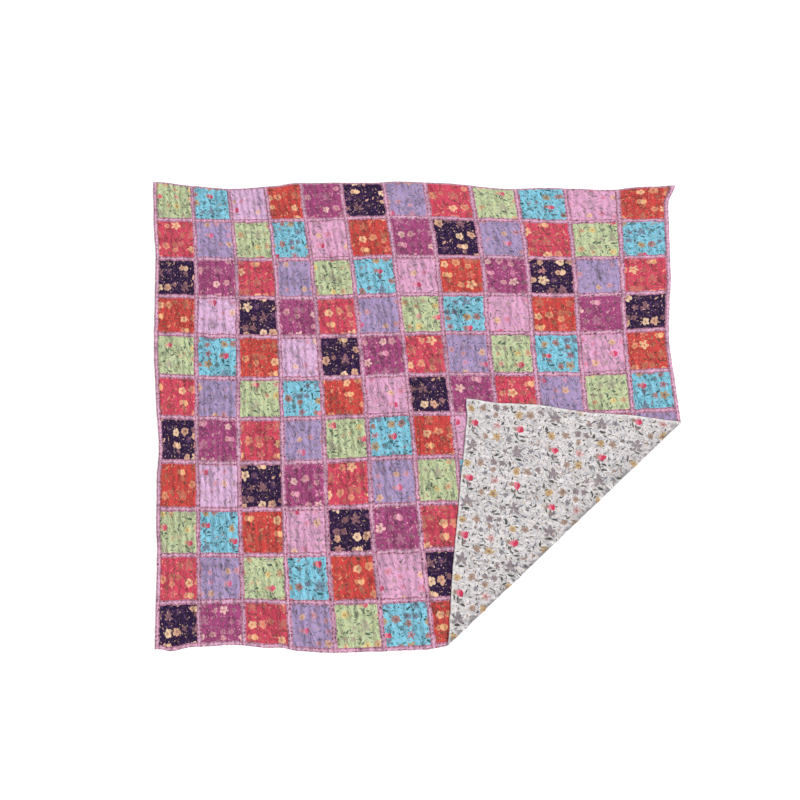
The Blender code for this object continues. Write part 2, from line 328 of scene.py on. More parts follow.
def relief(across, down, seed):
    """How far an outer face stands proud of its flat ply: the table's height, uneven from row to row
    by slow waves, times the pillow, of which the crumple takes away up to CRUMPLE_SHARE."""
    gather = np.maximum(from_table(PUCKER_HEIGHT, across, down), 0)
    channel = np.floor(across * CHANNELS_PER_PATCH)
    uneven = 1 + UNEVEN * np.sin(2.4 * channel) * np.cos(0.9 * down + channel)
    kept = 1 - CRUMPLE_SHARE * (1 - crumple(across, down, seed))
    return gather * uneven * pillow(across, down) * kept


def hollow(across, down, seed):
    """How deep in a fold a place lies, 0 to 1: the ditches of the rows, tight in some places and
    slack in others, and the low parts of the crumple."""
    x, y = across * PITCH, down * PITCH
    gather = np.clip(from_table(PUCKER_HEIGHT, across, down) / FULL_GATHER, *GATHER_RANGE)
    tight = np.clip(2 * hills(x, 0.6 * y, TIGHT_CELL, seed + 2) - 0.1, *TIGHT_RANGE)
    ditch = tight * (1 - pillow(across, down)) ** 1.2
    folds = np.clip(2.6 * (0.5 - crumple(across, down, seed)), 0, 1)
    return np.clip(gather * (DITCH_HOLLOW * ditch + FOLD_HOLLOW * folds), 0, 1)


def seam_ditch(across, down):
    """The ditch along the seams of the squares: a bell curve of the distance to the nearest seam."""
    seams = ((across, (*BEGIN_ACROSS, *END_ACROSS)), (down, (*BEGIN_DOWN, *END_DOWN)))
    to_seam = np.minimum.reduce([np.abs(place - line) for place, lines in seams for line in lines])
    return SEAM_DITCH * np.exp(-((to_seam * PITCH / SEAM_WIDTH * 2) ** 2))


def edge_round(across, down):
    """0 at the quilt's edge and 1 from EDGE_ROLL in: a quarter circle, which rolls the hem over."""
    rolled = np.clip(inward(across, down) / EDGE_ROLL, 0, 1)
    return np.sqrt(np.maximum(1 - (1 - rolled) ** 2, 0))


def fold_gathers(across, down):
    """How near the outermost line of the fold a place lies, as a bell curve, and how high the small
    gathers there stand, 0 to 1."""
    from_line = past_crease(across, down) - BEND_START - FOLD_BUMP_AT
    high = hills(across * PITCH, down * PITCH, GATHER_CELL, GATHER_HILLS)
    return np.exp(-((from_line / FOLD_BUMP_WIDTH) ** 2)), high


def face_offset(across, down, side):
    """How far off the mid-surface a face lies: side 1 is the pieced face and -1 the backing. The
    puckers fade out where a face is folded in or lies on the floor."""
    past = past_crease(across, down)
    if side > 0:
        shown = np.clip((BEND_START - past) / CHANNEL_FADE, 0, 1)
        proud = (relief(across, down, FRONT_HILLS) - seam_ditch(across, down)) * shown
    else:
        shown = np.clip((past - BEND_START) / BACK_FADE, 0, 1)
        near_fold, gathers = fold_gathers(across, down)
        proud = relief(across, down, BACK_HILLS) * shown + FOLD_BUMP * near_fold * gathers
    return side * (MIDDLE + proud) * edge_round(across, down)


middle = np.linspace(5.0, 6.0, 7)
print("height over one patch, mm:", (face_offset(middle, middle * 0 + 5.5, 1) * 1000).round(2).tolist())

# %% [markdown]
# ## From numbers to meshes
#
# A piece here is a set of blocks, and a block is a grid: one list of places across and one down, so
# that a square and the strip beside it share the points of their seam. The mesh carries a UV map
# called print, in metres, which is how the cotton was cut, and two values: hollow, 1 deep in a fold,
# and inward, the distance from the edge. By these the pattern bends and puckers with the cloth.

# %% The lines of the grids
def stretch(first, last, fine, cells):
    """Lines from first to last, with the distances in `fine` at both ends and even cells between."""
    fine = np.array(fine) / PITCH
    inner = np.linspace(first + fine[-1], last - fine[-1], cells + 1)
    return np.concatenate((first + fine[:-1], inner, last - fine[:-1][::-1]))


NEAR_SEAM = (0, 0.0012, 0.0032)
NEAR_HEM = np.array((0, 0.25, 0.7, 1.4, 2.2, 3.0, 5.5, 9.0, 12.5, 16.5)) * MM / PITCH


def strip_lines(index, begins, ends):
    """The lines of a strip: even inside the quilt, and close together near its edge."""
    if 0 < index < len(ends):
        return np.linspace(ends[index - 1], begins[index], 7)
    width = begins[0] + EDGE if index == 0 else len(ends) + EDGE - ends[-1]
    crowded = NEAR_HEM[NEAR_HEM < 0.9 * width]
    if index == 0:
        return np.append(crowded - EDGE, begins[0])
    return np.append(ends[-1], (len(ends) + EDGE - crowded)[::-1])


ACROSS_CELLS = 32
DOWN_CELLS = 26
SQUARE_ACROSS = [stretch(*ends, NEAR_SEAM, ACROSS_CELLS) for ends in zip(BEGIN_ACROSS, END_ACROSS)]
SQUARE_DOWN = [stretch(*ends, NEAR_SEAM, DOWN_CELLS) for ends in zip(BEGIN_DOWN, END_DOWN)]
STRIP_ACROSS = [strip_lines(c, BEGIN_ACROSS, END_ACROSS) for c in range(COLUMNS + 1)]
STRIP_DOWN = [strip_lines(r, BEGIN_DOWN, END_DOWN) for r in range(ROWS + 1)]
ALL_DOWN = np.unique(np.concatenate([*SQUARE_DOWN, *STRIP_DOWN]).round(9))
print("a square has", len(SQUARE_ACROSS[0]) - 1, "x", len(SQUARE_DOWN[0]) - 1, "cells")

# %% A piece of cloth from blocks
Block = namedtuple("Block", "across down print_at print_across print_down")
# How much shade is painted into the backing's fold: much between its gathers, less on their crowns.
FOLD_PAINTED_SHADE = 3.2
GATHER_CROWN_LESS_SHADE = 3.6


def block_arrays(block):
    """The flat places, print coordinates and faces of one block. Print coordinates are a start plus
    so much for each metre across and down."""
    across, down = (grid.ravel() for grid in np.meshgrid(block.across, block.down))
    x, y = (across - block.across[0]) * PITCH, (down - block.down[0]) * PITCH
    prints = np.array(block.print_at) + np.outer(x, block.print_across) + np.outer(y, block.print_down)
    wide, long = len(block.across), len(block.down)
    first = (np.arange(long - 1)[:, None] * wide + np.arange(wide - 1)).ravel()
    faces = np.stack((first, first + wide, first + wide + 1, first + 1), -1)
    return across, down, prints, faces


def add_mesh(name, points, faces, uv=None, values=()):
    """Whole arrays of points and faces as a new object at the origin, with any UV map and values."""
    mesh = bpy.data.meshes.new(name)
    mesh.from_pydata(points, [], faces)
    if uv is not None:
        layer = mesh.uv_layers.new(name="print")
        layer.data.foreach_set("uv", uv[np.asarray(faces).ravel()].astype(np.float32).ravel())
    for label, numbers in dict(values).items():
        attribute = mesh.attributes.new(label, "FLOAT", "POINT")
        attribute.data.foreach_set("value", numbers.astype(np.float32))
    mesh.shade_smooth()
    piece = bpy.data.objects.new(name, mesh)
    bpy.context.scene.collection.objects.link(piece)
    return piece


def cloth_piece(name, blocks, side):
    """One piece of cloth from all these blocks: side is 1 for the pieced face and -1 for the backing,
    whose faces are turned round. At the backing's fold, hollow is raised between the gathers and
    lowered on their crowns, so that shade is painted between them."""
    made, count = [], 0
    for block in blocks:
        across, down, prints, faces = block_arrays(block)
        made.append((across, down, prints, faces + count))
        count += len(across)
    across, down, prints, faces = (np.concatenate(part) for part in zip(*made))
    deep = hollow(across, down, FRONT_HILLS if side > 0 else BACK_HILLS)
    if side < 0:
        faces = faces[:, ::-1]
        near_fold, gathers = fold_gathers(across, down)
        # Painted shade: the backing's fold is made deep between its gathers, so its cotton is darker there.
        deep += near_fold * (FOLD_PAINTED_SHADE - GATHER_CROWN_LESS_SHADE * gathers)
    points = folded(across, down, face_offset(across, down, side))
    values = {"hollow": deep, "inward": inward(across, down)}
    piece = add_mesh(name, points, faces, prints, values)
    print(f"{name}: {len(blocks)} blocks, {2 * len(faces)} triangles")
    return piece


# %% [markdown]
# ## The squares
#
# Nine printed cottons run across the quilt in pairs, and each row down moves the pairs two squares
# to the right. A rule with a few exceptions is shorter than a list of 132 squares. All squares of
# one cotton make one piece, each cut from another place of the cloth, so that no two are alike.

# %% Which cotton goes where
PAIRS = (("green", "turquoise"), ("crimson", "lavender"), ("navy", "plum"), ("scarlet", "pink"))
LILAC_SQUARES = ((0, 2), (3, 1), (4, 3), (7, 1))


def cotton_of(row, column):
    """The cotton of a square: pairs of columns share a diagonal, and the diagonal picks the pair.
    Above the first diagonal the two swap places, apart from green and turquoise."""
    if (row, column) in LILAC_SQUARES:
        return "lilac"
    diagonal = row - column // 2
    pair = PAIRS[diagonal % len(PAIRS)]
    return pair[(column + (diagonal < 0 and pair[0] != "green")) % 2]


CUT_FROM = (0.1, 2.0)
cuts = np.random.default_rng(21)
squares = {}
for row in range(ROWS):
    for column in range(COLUMNS):
        block = Block(SQUARE_ACROSS[column], SQUARE_DOWN[row], cuts.uniform(*CUT_FROM, 2), (1, 0), (0, -1))
        squares.setdefault(cotton_of(row, column), []).append(block)

square_pieces = {name: cloth_piece(f"squares_{name}", blocks, 1) for name, blocks in squares.items()}
print({name: len(blocks) for name, blocks in squares.items()})

# %% [markdown]
# ## The strips between the squares and round the edge
#
# Narrow strips of one mauve print join the squares and close the edge. The strips that run down are
# whole, and the ones across are cut between them. At the edge their outer lines crowd together, so
# that the hem rolls over in a round and meets the backing.

# %% Strips down and strips across
strip_blocks_down = [Block(lines, ALL_DOWN, (0, -SASHING / 2), (0, 1), (1, 0)) for lines in STRIP_ACROSS]
strip_blocks_across = [
    Block(SQUARE_ACROSS[c], lines, (c * PITCH, -SASHING / 2), (1, 0), (0, 1))
    for lines in STRIP_DOWN
    for c in range(COLUMNS)
]
strips_down = cloth_piece("strips_down", strip_blocks_down, 1)
strips_across = cloth_piece("strips_across", strip_blocks_across, 1)

# %% [markdown]
# ## The backing
#
# One whole printed cloth lies under the patchwork, and the folded corner shows it. Only that corner
# needs small cells; the rest lies on the floor. The print runs sideways: what is up in the pattern
# points to the quilt's right edge.

# %% The backing as one block
FINE_FROM = (6.3, 4.9)
COARSE_CELLS = (0.010, 0.012)
FINE_CELLS = (0.0034, 0.0042)
BACK_PRINT = (1.3882, -1.4659)


def backing_lines(count, fine_from, coarse_cell, fine_cell):
    """Lines from edge to edge: coarse up to `fine_from`, fine past it, and crowded at the hems."""
    start, stop = -EDGE + NEAR_HEM[-1], count + EDGE - NEAR_HEM[-1]
    coarse = np.linspace(start, fine_from, round((fine_from - start) * PITCH / coarse_cell) + 1)
    fine = np.linspace(fine_from, stop, round((stop - fine_from) * PITCH / fine_cell) + 1)
    return np.concatenate((-EDGE + NEAR_HEM[:-1], coarse[:-1], fine, count + EDGE - NEAR_HEM[:-1][::-1]))


grid = [backing_lines(*sizes) for sizes in zip((COLUMNS, ROWS), FINE_FROM, COARSE_CELLS, FINE_CELLS)]
backing = cloth_piece("backing_cloth", [Block(*grid, BACK_PRINT, (0, 1), (-1, 0))], -1)

# %% [markdown]
# ## The quilting stitches
#
# The quilting is running stitch: the thread dips in and out, so it shows as a row of short dashes.
# Thousands of separate objects would be slow, so one small closed shape is copied by arrays into one
# mesh. Each copy is folded as the cloth is, so stitches go round the crease as well.

# %% One stitch, and all of them
STITCH_LENGTH = 0.0058
STITCH_STEP = 0.0120
STITCH_WIDTH = 0.0007
STITCH_HEIGHT = 0.0004


def stitch_shape():
    """A closed lozenge of thread: two ends and two rings of four points between them, as lengths
    along, across and up, from -1 to 1."""
    rings = [(t, w, h) for t in (-0.62, 0.62) for w, h in ((-1, 0.1), (0, 1), (1, 0.1), (0, -0.8))]
    points = np.array([(-1, 0, -0.5), *rings, (1, 0, -0.5)], float)
    around = np.arange(4)
    after = (around + 1) % 4
    start = np.stack((around * 0, 1 + after, 1 + around, 1 + around), -1)[:, :3]
    middle = np.stack((1 + around, 1 + after, 5 + after, 5 + around), -1)
    middle = np.concatenate((middle[:, [0, 1, 2]], middle[:, [0, 2, 3]]))
    end = np.stack((around * 0 + 9, 5 + around, 5 + after), -1)
    return points, np.concatenate((start, middle, end))


def stitch_places(seed, shift):
    """Where the stitches lie, in patches: along each row of quilting, a step apart, a little uneven,
    and started anywhere."""
    dice = np.random.default_rng(seed)
    rows = np.arange(COLUMNS * CHANNELS_PER_PATCH + 1) / CHANNELS_PER_PATCH
    step = STITCH_STEP / PITCH
    along = np.arange(-EDGE + step, ROWS + EDGE - step, step)
    across, down = (grid.ravel() for grid in np.meshgrid(rows, along))
    start = np.tile(dice.uniform(0, 0.8, len(rows)), len(along))
    down = down + (start + shift + dice.normal(0, 0.07, len(down))) * step
    down = np.minimum(down, ROWS + EDGE - 0.6 * step)
    across = across + dice.normal(0, 0.0012, len(across)) - wander(across, down)
    return np.clip(across, 0.3 * step - EDGE, COLUMNS + EDGE - 0.3 * step), down


def stitching(name, side, seed):
    """All the stitches of one face, but not where it lies hidden."""
    across, down = stitch_places(seed, 0.5 * (side < 0))
    past = past_crease(across, down)
    seen = past < 0 if side > 0 else past > BEND_START
    across, down = across[seen], down[seen]
    shape, faces = stitch_shape()
    long = np.random.default_rng(seed + 1).uniform(0.75, 1.1, len(across))[:, None] * STITCH_LENGTH / 2
    place_across = (across[:, None] + shape[:, 1] * STITCH_WIDTH / 2 / PITCH).ravel()
    place_down = (down[:, None] + shape[:, 0] * long / PITCH).ravel()
    base = face_offset(np.repeat(across, len(shape)), place_down, side)
    offset = base + side * np.tile(shape[:, 2], len(across)) * STITCH_HEIGHT
    points = folded(place_across, place_down, offset)
    every = (faces[None] + len(shape) * np.arange(len(across))[:, None, None]).reshape(-1, 3)
    if side < 0:
        every = every[:, ::-1]
    piece = add_mesh(name, points, every)
    print(f"{name}: {len(across)} stitches, {len(every)} triangles")
    return piece


stitches_front = stitching("stitches_front", 1, 31)
stitches_back = stitching("stitches_back", -1, 37)

# %% [markdown]
# ## Nodes for printed cotton
#
# A print is built in layers, like ink: a ground colour, small leaves, flowers, their hearts. A
# picture could hold them, but nodes stay sharp at any size. A node's output is wrapped here so that
# it can be reckoned with: `t * (4 - t * 4)` adds three nodes.

# %% Reckoning with node values
def srgb(web):
    """A web colour such as C0C9A0, as the linear values Blender works in."""
    value = np.array([int(web[k : k + 2], 16) for k in (0, 2, 4)]) / 255
    linear = np.where(value <= 0.04045, value / 12.92, ((value + 0.055) / 1.055) ** 2.4)
    return (*linear.tolist(), 1.0)


def feed(socket, value):
    """Wires a node's value to an input, or sets a plain number or colour on it."""
    if isinstance(value, Value):
        socket.id_data.links.new(value.socket, socket)
    else:
        socket.default_value = value


def add_node(kind, values, tree=None, **settings):
    """A new node with these inputs and settings, in the tree that its first wired input is in."""
    values = dict(values)
    tree = tree or next(v for v in values.values() if isinstance(v, Value)).socket.id_data
    made = tree.nodes.new("ShaderNode" + kind)
    for key, setting in settings.items():
        setattr(made, key, setting)
    for key, value in values.items():
        feed(made.inputs[key], value)
    return made


def calculate(operation, *values):
    """The output of a new Math node with these values on its inputs."""
    return Value(add_node("Math", enumerate(values), operation=operation).outputs[0])


def operator(operation, swapped=False):
    """What Python does for a sign such as + between a value and another number or value."""
    return lambda one, other: calculate(operation, *((other, one) if swapped else (one, other)))


class Value:
    """A node's output. Each sum, product and so on of it adds the Math node that works it out."""

    def __init__(self, socket):
        self.socket = socket

    __add__, __sub__, __rsub__ = operator("ADD"), operator("SUBTRACT"), operator("SUBTRACT", True)
    __mul__, __truediv__, __rtruediv__ = operator("MULTIPLY"), operator("DIVIDE"), operator("DIVIDE", True)

    def __abs__(self):
        return calculate("ABSOLUTE", self)


def clamped(value):
    """The value kept from 0 to 1, by the Math node that it comes from."""
    value.socket.node.use_clamp = True
    return value


def vector_math(operation, *values):
    return Value(add_node("VectorMath", enumerate(values), operation=operation).outputs[0])


def scaled(vector, scale):
    return Value(add_node("VectorMath", {0: vector, "Scale": scale}, operation="SCALE").outputs[0])


def parts(vector):
    return [Value(socket) for socket in add_node("SeparateXYZ", {0: vector}).outputs]


def joined(x, y):
    return Value(add_node("CombineXYZ", {0: x, 1: y}).outputs[0])


def mix(share, first, second):
    return Value(add_node("Mix", {0: share, 6: first, 7: second}, data_type="RGBA").outputs[2])


def noise(vector, scale, detail=1.0, dimensions="2D", output=0):
    values = {"Vector": vector, "Scale": scale, "Detail": detail}
    return Value(add_node("TexNoise", values, noise_dimensions=dimensions).outputs[output])


def group(name, inputs, outputs):
    """A new shader node group: its inputs as values, in order, and its outputs' sockets."""
    tree = bpy.data.node_groups.new(name, "ShaderNodeTree")
    for label, value in inputs.items():
        kind = "NodeSocketVector" if value is None else "NodeSocketFloat"
        socket = tree.interface.new_socket(label, in_out="INPUT", socket_type=kind)
        if value is not None:
            socket.default_value = value
    for label in outputs:
        tree.interface.new_socket(label, in_out="OUTPUT", socket_type="NodeSocketFloat")
    given = tree.nodes.new("NodeGroupInput").outputs
    return [Value(given[label]) for label in inputs], tree.nodes.new("NodeGroupOutput").inputs


def give(out, *values):
    """Wires these values to a group's outputs, in order."""
    for socket, value in zip(out, values):
        feed(socket, value)


def use_group(name, values):
    """Places a group with these inputs, and gives its outputs by name."""
    made = add_node("Group", values, node_tree=bpy.data.node_groups[name])
    return {socket.name: Value(socket) for socket in made.outputs}


print("ready to reckon with nodes")

# %% Scattered places
def make_scatter():
    """Middle X and Middle Y are the nearest scattered point: the point of its Voronoi cell. Turn and
    Chance are two of that cell's random numbers."""
    labels = ("Middle X", "Middle Y", "Turn", "Chance")
    (vector, spacing), out = group("scatter", {"Vector": None, "Spacing": 0.03}, labels)
    values = {"Vector": vector, "Scale": 1.0 / spacing}
    cells = add_node("TexVoronoi", values, voronoi_dimensions="2D").outputs
    (_, turn, chance), (x, y, _) = (parts(Value(cells[label])) for label in ("Color", "Position"))
    give(out, x, y, turn * (2 * pi), chance)


make_scatter()
print("scattered places are ready")

# %% Three shapes: a blossom, a blade and a tulip
SOFT = 0.0009
PLACES = {"X": 0.0, "Y": 0.0, "Middle X": 0.0, "Middle Y": 0.0}


def shape_group(name, inputs, outputs):
    """A group for a shape: the way from its middle to the place, across and up, then its inputs."""
    (x, y, middle_x, middle_y, *given), out = group(name, {**PLACES, **inputs}, outputs)
    return (x - middle_x, y - middle_y, *given), out


def distance(x, y):
    """The length of (x, y)."""
    return calculate("SQRT", x * x + y * y)


def largest(first, second):
    return calculate("MAXIMUM", first, second)


def make_blossom():
    """Five round petals: a place is inside where its distance from the middle is less than a radius
    that dips where |cos(2.5 angle)| does. Heart is a disc in the middle and the lines between petals.
    Under and Hearts are the masks so far, and the greater of old and new comes out."""
    inputs = {"Radius": 0.01, "Depth": 0.3, "Turn": 0.0, "Under": 0.0, "Hearts": 0.0}
    (x, y, radius, depth, turn, under, hearts), out = shape_group("blossom", inputs, ("Petals", "Heart"))
    petal = abs(calculate("COSINE", calculate("ARCTAN2", y, x) * 2.5 + turn))
    away = distance(x, y)
    petals = clamped((radius * (petal - 1.0) * depth + radius - away) / SOFT)
    disc, lines = clamped((radius * 0.3 - away) / SOFT), clamped((0.35 - petal) * 2.0)
    give(out, largest(petals, under), largest(petals * largest(disc, lines), hearts))


def make_blade():
    """One pointed leaf from its foot: the place is turned to lie along the leaf, and is inside where
    it is nearer to the rib than a parabola along it, width times 4t(1 - t)."""
    inputs = {"Length": 0.01, "Width": 0.003, "Turn": 0.0, "Under": 0.0}
    (x, y, length, width, turn, under), out = shape_group("blade", inputs, ("Leaf",))
    c, s = calculate("COSINE", turn), calculate("SINE", turn)
    t = (x * c + y * s) / length
    room = t * (4.0 - t * 4.0) * width - abs(y * c - x * s)
    give(out, largest(clamped(room / SOFT), under))


def make_tulip():
    """A cup is an oval cut off at the top by a zigzag of three teeth. Blush is its left side, and
    Stalk a thin bent line under it. Lengths are in cups."""
    (x, y, size), out = shape_group("tulip", {"Size": 0.009}, ("Cup", "Blush", "Stalk"))
    x, y = x / size, y / size
    inside = clamped((1.0 - distance(x * 1.1, y)) * 9.0)
    cup = inside * clamped((abs(calculate("SINE", x * 5.2)) * 0.4 + (0.5 - y)) * 9.0)
    thin = clamped(1.5 - abs(x - calculate("SINE", y) * 0.6) * 6.0)
    under, above = clamped(clamped(-0.8 - y) * 4.0), clamped(y + 3.4)
    give(out, cup, cup * clamped(x * -4.0), thin * (under * above))


make_blossom()
make_blade()
make_tulip()
print("shapes:", [tree.name for tree in bpy.data.node_groups])

# %% [markdown]
# ## The garden print
#
# All the cottons, the backing too, carry one garden print in ten colourings: tulips, irises, round
# flowers and slender leaves. One repeat is charted, in millimetres from a tulip, and comes again
# to the right a third of its length lower, which printers call a drop. The smallest leaves are
# scattered instead. One node group puts out a mask for each ink, so a cotton is a choice of inks.

# %% The chart of one repeat
REPEAT_WIDE = 0.231
REPEAT_LONG = 0.168
REPEAT_DROP = REPEAT_LONG / 3
TILE_LEFT = 0.032
TILE_TOP = 0.066
# Each ink's motifs: how far right and up, how large, turned by how many degrees, and for a flower
# also how deeply its petals are cut, where that isn't PETAL_DEPTH.
PETAL_DEPTH = 0.24
FLOWERS = {
    "Gold": ((-10, 42, 11, 10), (128, 36, 11.5, 80), (68, -37, 14, 20, 0.5)),
    "Rose": (
        (27, 48, 11.5, 60), (160, 38, 12, 30), (64, 33, 9, 40), (36, -38, 9.5, 70), (119, -5, 8, 100),
        (-14, 1, 7.5, 60),
    ),
    "Mauve": (
        (63, 56, 10.5, 120), (88, 55, 9.5, 0), (188, 49, 8, 200), (-1, -20, 7, 30), (93, -77, 10, 80, 0.6),
    ),
    "Pink": ((69, 0, 11.5, 0, 0.6),),
    "Grey": ((102, -37, 9, 30), (42, 21, 8, 90), (166, -68, 9, 20, 0.5)),
}
LEAVES = {
    "Dark": (
        (-16, -12, 17, 110), (2, -17, 15, -15), (43, 3, 13, 20), (41, 42, 12, -20), (83, -94, 17, 20),
        (108, 55, 20, 95), (116, 44, 17, 35), (119, 13, 14, 75), (121, -22, 17, 115), (140, -25, 16, -10),
        (-26, 58, 20, 95), (-18, 49, 15, 40), (8, -34, 19, -5), (46, -25, 16, 40), (141, -40, 19, 8),
        (175, -22, 14, -20), (-3, -92, 22, -8), (70, -90, 19, 35), (107, -66, 16, 20), (132, -97, 22, -10),
        (182, -60, 15, 20), (187, -12, 15, 95),
    ),
    "Grey": (
        (139, 59, 20, -25), (101, -11, 20, 80), (153, -8, 15, 0), (168, -7, 14, 50), (192, -1, 16, 60),
        (-19, -62, 20, -35), (22, -94, 15, 0), (146, -62, 18, 40), (153, -93, 18, -40),
        (190, -80, 18, 110), (60, -68, 17, 150), (40, -60, 15, 30), (88, 22, 19, -60),
    ),
    "Rose": ((166, -42, 20, 40), (187, -35, 17, 85), (24, -62, 15, 65), (40, 70, 14, 10)),
}
TULIPS = ((0, 0, 11.5), (133, -5, 12))
IRISES = ((-2, -76, 16, 90), (128, -78, 16, 95))
# Each petal of an iris: its turn in degrees, and its length by the iris's size. Each kind of
# scattered leaf: its ink, metres apart, millimetres long, and the share of places that have one.
IRIS_PETALS = ((0, 1.6), (58, 1.15), (-58, 1.15), (125, 1.2), (-125, 1.2))
FLECKS = (
    ("Fleck", 0.0070, 6.0, 0.55), ("Grey", 0.0108, 8.8, 0.65), ("Fleck", 0.0096, 8.0, 0.55),
    ("Dark", 0.0180, 11.5, 0.7), ("Rose", 0.0200, 8.0, 0.6), ("Gold", 0.0235, 8.0, 0.55),
)
LEAF_WIDTH, IRIS_WIDTH, FLECK_WIDTH = 0.18, 0.26, 0.19
INKS = ("Gold", "Rose", "Pink", "Mauve", "Heart", "Tulip", "Blush", "Dark", "Grey", "Fleck", "Curl")
print(sum(map(len, FLOWERS.values())), "flowers and", sum(map(len, LEAVES.values())), "leaves")


# %% The print as masks
def tile_place(vector):
    """Any place of the cloth, brought into the charted repeat: x less whole repeats, and y plus the
    drop for each of them, then wrapped."""
    x, y, _ = parts(vector)
    column = calculate("FLOOR", (x + TILE_LEFT) / REPEAT_WIDE)
    y = y + column * REPEAT_DROP
    return x - column * REPEAT_WIDE, calculate("WRAP", y, TILE_TOP, TILE_TOP - REPEAT_LONG)


def bent_place(vector, scale, reach):
    """The place, moved by up to half of `reach` metres: soft noise of `scale` waves a metre."""
    bends = noise(vector, scale, output="Color")
    bends = vector_math("MULTIPLY_ADD", bends, (reach, reach, 0), (-reach / 2, -reach / 2, 0))
    return vector_math("ADD", vector, bends)


def make_garden():
    """Each ink's mask is the greatest of its motifs' masks, handed from one to the next. Noise bends
    the places first, so that no two petals are alike. Curl is soft clouds of noise and thin lines
    along its levels. Swell makes the flowers larger."""
    (vector, swell), out = group("garden_print", {"Vector": None, "Swell": 1.0}, INKS)
    drawn = bent_place(vector, 65.0, 0.0075)
    x, y = tile_place(drawn)
    masks = dict.fromkeys(INKS, 0.0)

    def at(right, up):
        return {"X": x, "Y": y, "Middle X": right * MM, "Middle Y": up * MM}

    def lay_blade(ink, places, size, turn, width):
        values = {**places, "Length": size * MM, "Width": width, "Turn": turn, "Under": masks[ink]}
        masks[ink] = use_group("blade", values)["Leaf"]

    for ink, right, up, size, turn, *depth in ((ink, *motif) for ink in FLOWERS for motif in FLOWERS[ink]):
        values = {"Radius": swell * (size * MM), "Depth": (*depth, PETAL_DEPTH)[0], "Turn": radians(turn)}
        values = {**at(right, up), **values, "Under": masks[ink], "Hearts": masks["Heart"]}
        masks[ink], masks["Heart"] = use_group("blossom", values).values()
    for ink, right, up, size, turn in ((ink, *motif) for ink in LEAVES for motif in LEAVES[ink]):
        turn, half = radians(turn), size / 2
        foot = at(right - half * cos(turn), up - half * sin(turn))
        lay_blade(ink, foot, size, turn, LEAF_WIDTH * size * MM)
    for right, up, size, turn in IRISES:
        for spread, share in IRIS_PETALS:
            long = size * share
            lay_blade("Mauve", at(right, up), long, radians(turn + spread), IRIS_WIDTH * long * MM)
    for right, up, size in TULIPS:
        tulip = use_group("tulip", {**at(right, up), "Size": size * MM})
        for ink, part in (("Tulip", "Cup"), ("Blush", "Blush"), ("Dark", "Stalk")):
            masks[ink] = largest(masks[ink], tulip[part])
    here = dict(zip(("X", "Y"), parts(drawn)))
    for ink, spacing, size, share in FLECKS:
        spot = use_group("scatter", {"Vector": drawn, "Spacing": spacing})
        width = calculate("LESS_THAN", spot.pop("Chance"), share) * (size * FLECK_WIDTH * MM)
        lay_blade(ink, {**here, **spot}, size, spot["Turn"], width)
    for scale, level in ((38.0, 0.5), (27.0, 0.42)):
        curl = clamped((0.014 - abs(noise(vector, scale) - level)) * 90.0)
        masks["Curl"] = largest(curl, masks["Curl"])
    clouds = clamped(noise(vector, 60.0, 2.0) * 3.6 - 1.6)
    masks["Curl"] = largest(clouds * 0.6, masks["Curl"])
    give(out, *masks.values())


make_garden()
print("nodes in the print:", len(bpy.data.node_groups["garden_print"].nodes))

# %% [markdown]
# ## The cloth itself
#
# Quilting cotton is a plain weave of about 25 threads to the centimetre. From a step away it only
# softens the light, and what shows is crumple: dents that the mesh is too coarse for. One group
# gives both as a height for a Bump node. Another gives the shade, deeper down in the stitched rows.

# %% Weave, creases and shade
THREAD = 0.0004
THREAD_HEIGHT = 0.00003


def make_creases():
    """Thin wavy creases that slant from the stitched rows: 1 where soft noise, sheared and drawn out
    five times along the rows, is near its middle value, and less where a second noise is low."""
    (vector,), out = group("cotton_creases", {"Vector": None}, ("Crease",))
    x, y, _ = parts(vector)
    lines = clamped(1.0 - abs(noise(joined(x + y * 0.28, y * 0.2), 70.0) - 0.5) * 18.0)
    give(out, lines * clamped(noise(vector, 26.0) * 3.4 - 1.0))


def make_height():
    """The threads are two sine waves, one each way, multiplied. Crumple is soft noise, drawn out
    along the stitched rows, and creases cut into it. All are in metres."""
    (vector, crumple), out = group("cotton_height", {"Vector": None, "Crumple": 0.0005}, ("Height",))
    x, y, _ = parts(scaled(vector, pi / THREAD))
    threads = calculate("SINE", x) * calculate("SINE", y)
    dents = noise(vector_math("MULTIPLY", vector, (1.0, 0.5, 1.0)), 85.0, 3.0)
    dents = dents - use_group("cotton_creases", {"Vector": vector})["Crease"] * 0.35
    give(out, threads * THREAD_HEIGHT + dents * crumple)


def make_shade():
    """Shade, painted into the colour, is 1 on the crowns and less in the hollows and creases, times
    soft noise drawn out along the stitched rows.
    """
    inputs = {"Vector": None, "Hollow": 0.0, "Depth": 0.4}
    (vector, hollow, depth), out = group("cotton_shade", inputs, ("Shade",))
    row_mottle = noise(vector_math("MULTIPLY", vector, (1.0, 0.6, 1.0)), 130.0, 3.0) * 0.5 + 0.79
    crease = use_group("cotton_creases", {"Vector": vector})["Crease"]
    # Painted shade: the cotton is darker in the hollows and creases.
    give(out, row_mottle * (1.0 - clamped(crease * 0.9 + hollow * 0.75) * depth))


make_creases()
make_height()
make_shade()
print("threads to the centimetre:", round(0.01 / THREAD))

# %% [markdown]
# ## Ten cottons from one recipe
#
# A cotton is the garden print in its own inks, laid on one over the last: ground, curls, flecks,
# leaves, flowers and tulips. A table gives them as web colours: the ground first, and then the inks
# in the order of INKS.

# %% The material every cotton shares
COTTON_FINISH = {
    "Roughness": 0.86, "Specular IOR Level": 0.25, "Sheen Weight": 0.12, "Sheen Roughness": 0.5,
}
CRUMPLE = 0.0014
PATCHWORK_SHADE = 0.52
BACKING_SHADE = 0.26


def new_material(name, finish):
    """A new material, and its shader's inputs, which hold these plain values."""
    material = bpy.data.materials.new(name)
    material.use_nodes = True
    sockets = material.node_tree.nodes["Principled BSDF"].inputs
    for label, value in finish.items():
        feed(sockets[label], value)
    return material, sockets


